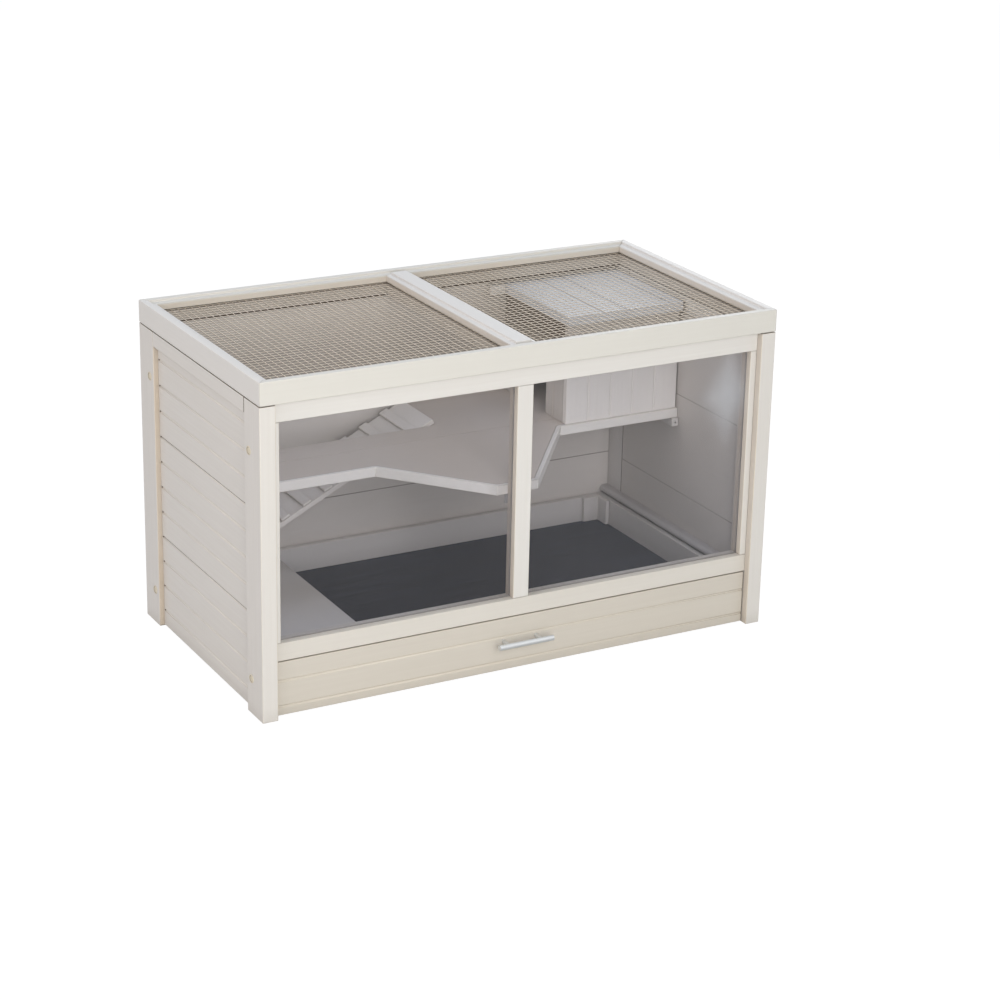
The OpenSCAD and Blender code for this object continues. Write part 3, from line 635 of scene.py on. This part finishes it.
def wood_finishes():
    """The wooden finishes: each one's grain, and how its paint differs from the plain one."""
    lid = dict(tan_shade=lid_mask, dark=under_mesh_mask, brush=0.07, seam=0.12, wear=0.03, corner=0.12)
    looks = {
        "along": ("X", {}),
        "across": ("Y", dict(seam=1.0)),
        "post": ("Z", dict(tan_shade=recess_mask, seam=1.0, wear=0.4)),
        "stile": ("Z", dict(colour=LID_PAINT, tan_shade=reveal_mask, seam=0.25, wear=0.5)),
        "head": ("X", dict(colour=LID_PAINT, seam=0.1, corner=0.1)),
        "sill": ("X", dict(colour=SILL_PAINT, seam=0.2)),
        "lid_along": ("X", dict(lid, colour=LID_LONG_PAINT)),
        "lid_across": ("Y", dict(lid, colour=LID_PAINT)),
        "board": ("Y", dict(dark=groove_end_mask, inner=inner_mask, seam=0.45)),
        "back": ("X", dict(colour=BACK_PAINT)),
        "back_top": ("X", dict(colour=BACK_PAINT, dark=top_edge_mask)),
        "edging": ("X", dict(colour=BRIGHT_PAINT, seam=0.25)),
        "shelf": ("X", dict(colour=SHELF_PAINT, seam=0.25)),
        "landing": ("Y", {}),
        "ramp": ("X", dict(colour=HOUSE_PAINT)),
        "roof": ("Y", dict(colour=ROOF_PAINT, dark=roof_mask, brush=0.08)),
        "guide": ("Y", dict(colour=GUIDE_PAINT, wear=0.05, seam=0.9)),
        "house": ("Z", dict(
            colour=HOUSE_PAINT, dark=under_lid_mask(0.4), wear=0.05, seam=0.35, corner=0.08,
        )),
        "house_side": ("Z", dict(colour=SIDE_PAINT, dark=under_lid_mask(0.85), seam=0.35)),
        "drawer": ("X", dict(colour=DRAWER_PAINT, dark=drawer_end_mask)),
    }
    return {
        finish: painted_wood("paint_" + finish, grain, **changes)
        for finish, (grain, changes) in looks.items()
    }


def wood_finish(node):
    """The name of the finish that suits a wooden node's grain and place."""
    if node in SPECIAL:
        return SPECIAL[node]
    if node.startswith("post"):
        return "post"
    if "stile" in node:
        return "stile"
    if node.startswith(("left_board", "right_board")):
        return "board"
    direction = "across" if node in CROSSWISE else "along"
    return "lid_" + direction if node.startswith("lid") else direction


def dress_wood():
    """Shows every painted node with rounded edges and its finish."""
    finishes = wood_finishes()
    trees = surfaces()
    for node in NODES:
        if SLOT_OF[node].endswith("paint"):
            thin = "board" in node or node.startswith("house")
            width = BOARD_ROUNDING if thin else FRAME_ROUNDING
            ease(node, width, finishes[wood_finish(node)], trees)


# ---- Caps ----

# Radius and height of a cap's rounded rim and dished face, outwards in, in millimetres
CAP_PROFILE = [
    (7.5, 0), (7.5, 0.7), (7.2, 1.05), (6.8, 1.2), (6.3, 1.1), (5.9, 0.7), (5.4, 0.35), (4.6, 0.25),
]

# The rows of the profile that lie in the crease, which gets painted shade
CREASE = (5, 6)
CAP_SIDES = 40


def islands(node):
    """The box of each separate solid of a node, as its lowest and highest corner."""
    form = bmesh.new()
    form.from_mesh(NODES[node].data)
    bmesh.ops.remove_doubles(form, verts=form.verts, dist=WELD)
    left = set(form.verts)
    boxes = []
    while left:
        group = set()
        edge = [left.pop()]
        while edge:
            vert = edge.pop()
            group.add(vert)
            near = {link.other_vert(vert) for link in vert.link_edges} & left
            left -= near
            edge += near
        low, high = [
            Vector(pick(vert.co[axis] for vert in group) for axis in range(3))
            for pick in (min, max)
        ]
        boxes.append((low, high))
    form.free()
    return boxes


def cap_rings(form, low, high):
    """The rings of vertices, from the wall outwards, of the cap that fills a box."""
    centre = (low + high) / 2
    side = math.copysign(1, centre.x)
    base = min(abs(low.x), abs(high.x))
    turns = [math.tau * step / CAP_SIDES for step in range(CAP_SIDES)]
    return [
        [
            form.verts.new((
                side * (base + height * MM),
                centre.y + side * radius * MM * math.cos(turn),
                centre.z + radius * MM * math.sin(turn),
            ))
            for turn in turns
        ]
        for radius, height in CAP_PROFILE
    ]


def mould_caps(material):
    """Shows a moulded cap over each cam fitting: a round rim about a shallow dish."""
    form = bmesh.new()
    crease = form.loops.layers.float_color.new("joint")
    for low, high in islands("cover_caps"):
        rings = cap_rings(form, low, high)
        faces = [form.faces.new(reversed(rings[0])), form.faces.new(rings[-1])]
        for outer, inner in zip(rings, rings[1:]):
            for step in range(CAP_SIDES):
                after = (step + 1) % CAP_SIDES
                face = form.faces.new((outer[step], outer[after], inner[after], inner[step]))
                face.smooth = True
                faces.append(face)
        for face in faces:
            for loop in face.loops:
                deep = any(loop.vert in rings[row] for row in CREASE)
                loop[crease] = MARKED if deep else UNMARKED
    mesh = bpy.data.meshes.new("cap_faces")
    form.to_mesh(mesh)
    form.free()
    mesh.materials.append(material)
    piece = bpy.data.objects.new("cover_caps_moulded", mesh)
    bpy.context.scene.collection.objects.link(piece)
    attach(piece, BODY_OF["cover_caps"])
    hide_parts("cover_caps")


# ---- Metal, panes and lining ----

def dress_rest():
    """Gives the metal, the panes and the lining their finishes, and shows the moulded caps."""
    finishes = {
        "pane": clear_pane("clear_sheet"),
        "mesh_wire": zinc("galvanised_wire", WIRE, WIRE_DUST, metallic=0.8, roughness=0.22),
        "hinge_steel": zinc("zinc_hinge", HINGE_ZINC, ZINC_DUST, metallic=0.85, roughness=0.34),
        "screw_steel": zinc("zinc_screw", SCREW_ZINC, ZINC_DUST, metallic=0.85, roughness=0.28),
        "handle_metal": brushed_metal("handle_finish"),
        "lining": slate("slate_lining"),
    }
    mould_caps(cream_plastic("cap_finish"))
    for node in NODES:
        if SLOT_OF[node] in finishes:
            finish_node(node, finishes[SLOT_OF[node]])


# ---- Room ----

FLOOR_HALF = 9


def pale_floor():
    """A wide pale sheet that shows the cage's soft shadow and is nearly white to the camera."""
    mesh = bpy.data.meshes.new("floor")
    near, far = -FLOOR_HALF, FLOOR_HALF
    corners = [(near, near, 0), (far, near, 0), (far, far, 0), (near, far, 0)]
    mesh.from_pydata(corners, [], [(0, 1, 2, 3)])
    floor = bpy.data.objects.new("floor", mesh)
    bpy.context.scene.collection.objects.link(floor)
    recipe = Recipe("floor_white")
    path = recipe.add("ShaderNodeLightPath", output="Is Camera Ray")
    speckle = recipe.noise((40, 40, 40))
    sheet = recipe.principled(
        Base_Color=recipe.mix(speckle * 0.05, (0.66, 0.66, 0.66), (0.62, 0.62, 0.62)),
        Roughness=0.9,
    )
    glow = recipe.add("ShaderNodeEmission", {}, {"Color": (1.0, 1.0, 1.0), "Strength": 1.13})
    mesh.materials.append(recipe.show(
        recipe.add("ShaderNodeMixShader", {}, {0: path * 0.85, 1: sheet, 2: glow})
    ))


def white_room():
    """Cool, even light all round, and plain white for the camera and for reflections."""
    recipe = Recipe("room", world=True)
    seen = recipe.add("ShaderNodeLightPath", output="Is Camera Ray")
    mirrored = recipe.add("ShaderNodeLightPath", output="Is Glossy Ray")
    ambient = recipe.add(
        "ShaderNodeBackground", {}, {"Color": (0.98, 1.0, 0.99), "Strength": 0.45}
    )
    white = recipe.add("ShaderNodeBackground", {}, {"Color": (1.0, 1.0, 1.0)})
    plain = seen.maths("MAXIMUM", seen, mirrored)
    bpy.context.scene.world = recipe.show(
        recipe.add("ShaderNodeMixShader", {}, {0: plain, 1: ambient, 2: white})
    )


place_camera()
white_room()
pale_floor()
for lamp_facts in LAMPS:
    soft_lamp(*lamp_facts)
dress_wood()
dress_rest()

bpy.context.scene.view_settings.view_transform = "Standard"
